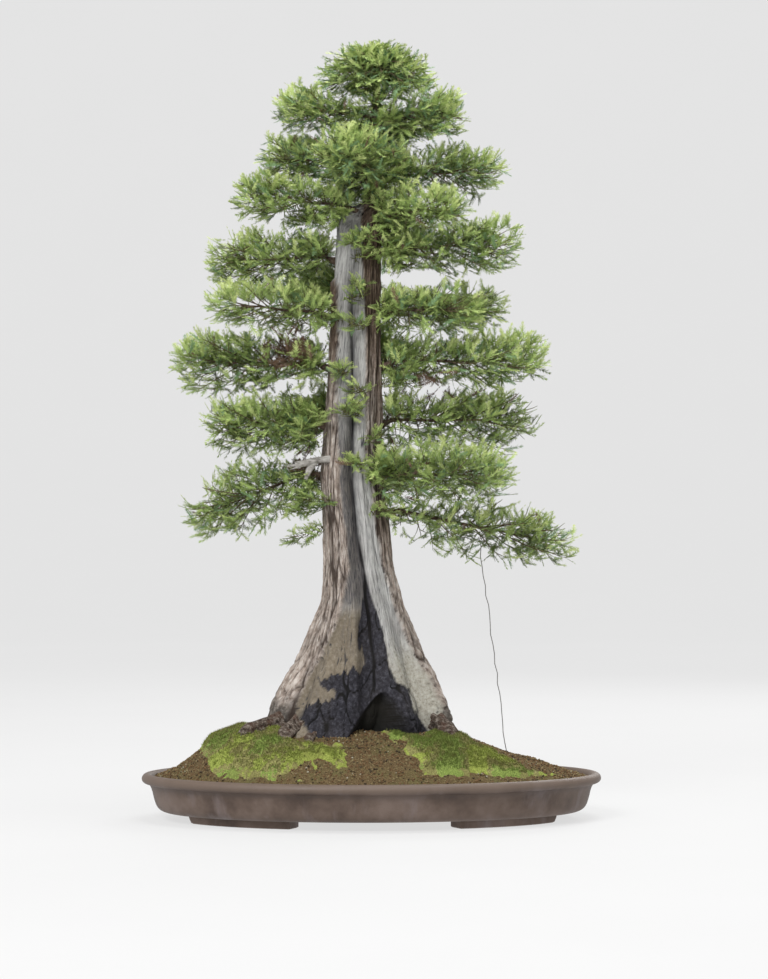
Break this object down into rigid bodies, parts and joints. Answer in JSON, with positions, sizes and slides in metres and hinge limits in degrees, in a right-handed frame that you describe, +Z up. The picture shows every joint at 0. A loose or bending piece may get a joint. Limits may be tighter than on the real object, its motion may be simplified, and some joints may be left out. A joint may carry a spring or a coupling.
{
  "type": "coast redwood bonsai",
  "caption": "Coast redwood bonsai: flared trunk with a hollow foot and dead, grooved front, and a layered crown of needle foliage, in a shallow oval clay pot.",
  "frame": {"origin": "on the standing surface under the middle of the pot", "axes": "+Z up, +X along the pot's length to the viewer's right, -Y the front"},
  "size_m": [0.62, 0.41, 1.0469],
  "materials": {
    "clay": "unglazed brown clay, matte",
    "soil": "granular reddish-brown soil",
    "moss": "yellow-green moss",
    "trunk_wood": "fissured bark, silver dead wood and char",
    "bough_bark": "rough brown bark",
    "dead_wood": "pale weathered wood",
    "needles": "green needle sprays",
    "wire": "dull grey wire"
  },
  "bodies": {
    "root": {"bough_broad_back": "bough_bark", "bough_broad_left": "bough_bark", "bough_broad_right": "bough_bark", "bough_lower_back": "bough_bark", "bough_lower_left": "bough_bark", "bough_lower_right": "bough_bark", "bough_middle_back": "bough_bark", "bough_middle_front_left": "bough_bark", "bough_middle_front_right": "bough_bark", "bough_middle_left": "bough_bark", "bough_middle_right": "bough_bark", "bough_shoulder_back": "bough_bark", "bough_shoulder_front": "bough_bark", "bough_shoulder_left": "bough_bark", "bough_shoulder_right": "bough_bark", "bough_skirt_back": "bough_bark", "bough_skirt_front_right": "bough_bark", "bough_skirt_left": "bough_bark", "bough_skirt_right": "bough_bark", "bough_upper_back": "bough_bark", "bough_upper_front": "bough_bark", "bough_upper_left": "bough_bark", "bough_upper_right": "bough_bark", "dead_bough": "dead_wood", "foliage_apex": "needles", "foliage_broad_back": "needles", "foliage_broad_left": "needles", "foliage_broad_right": "needles", "foliage_crown_back": "needles", "foliage_crown_left": "needles", "foliage_crown_right": "needles", "foliage_lower_back": "needles", "foliage_lower_left": "needles", "foliage_lower_right": "needles", "foliage_middle_back": "needles", "foliage_middle_front_left": "needles", "foliage_middle_front_right": "needles", "foliage_middle_left": "needles", "foliage_middle_right": "needles", "foliage_shoulder_back": "needles", "foliage_shoulder_front": "needles", "foliage_shoulder_left": "needles", "foliage_shoulder_right": "needles", "foliage_skirt_back": "needles", "foliage_skirt_front_right": "needles", "foliage_skirt_left": "needles", "foliage_skirt_right": "needles", "foliage_upper_back": "needles", "foliage_upper_front": "needles", "foliage_upper_left": "needles", "foliage_upper_right": "needles", "guy_wire": "wire", "moss_back": "moss", "moss_left": "moss", "moss_right": "moss", "pot": "clay", "soil": "soil", "trunk": "trunk_wood"}
  },
  "joints": []
}
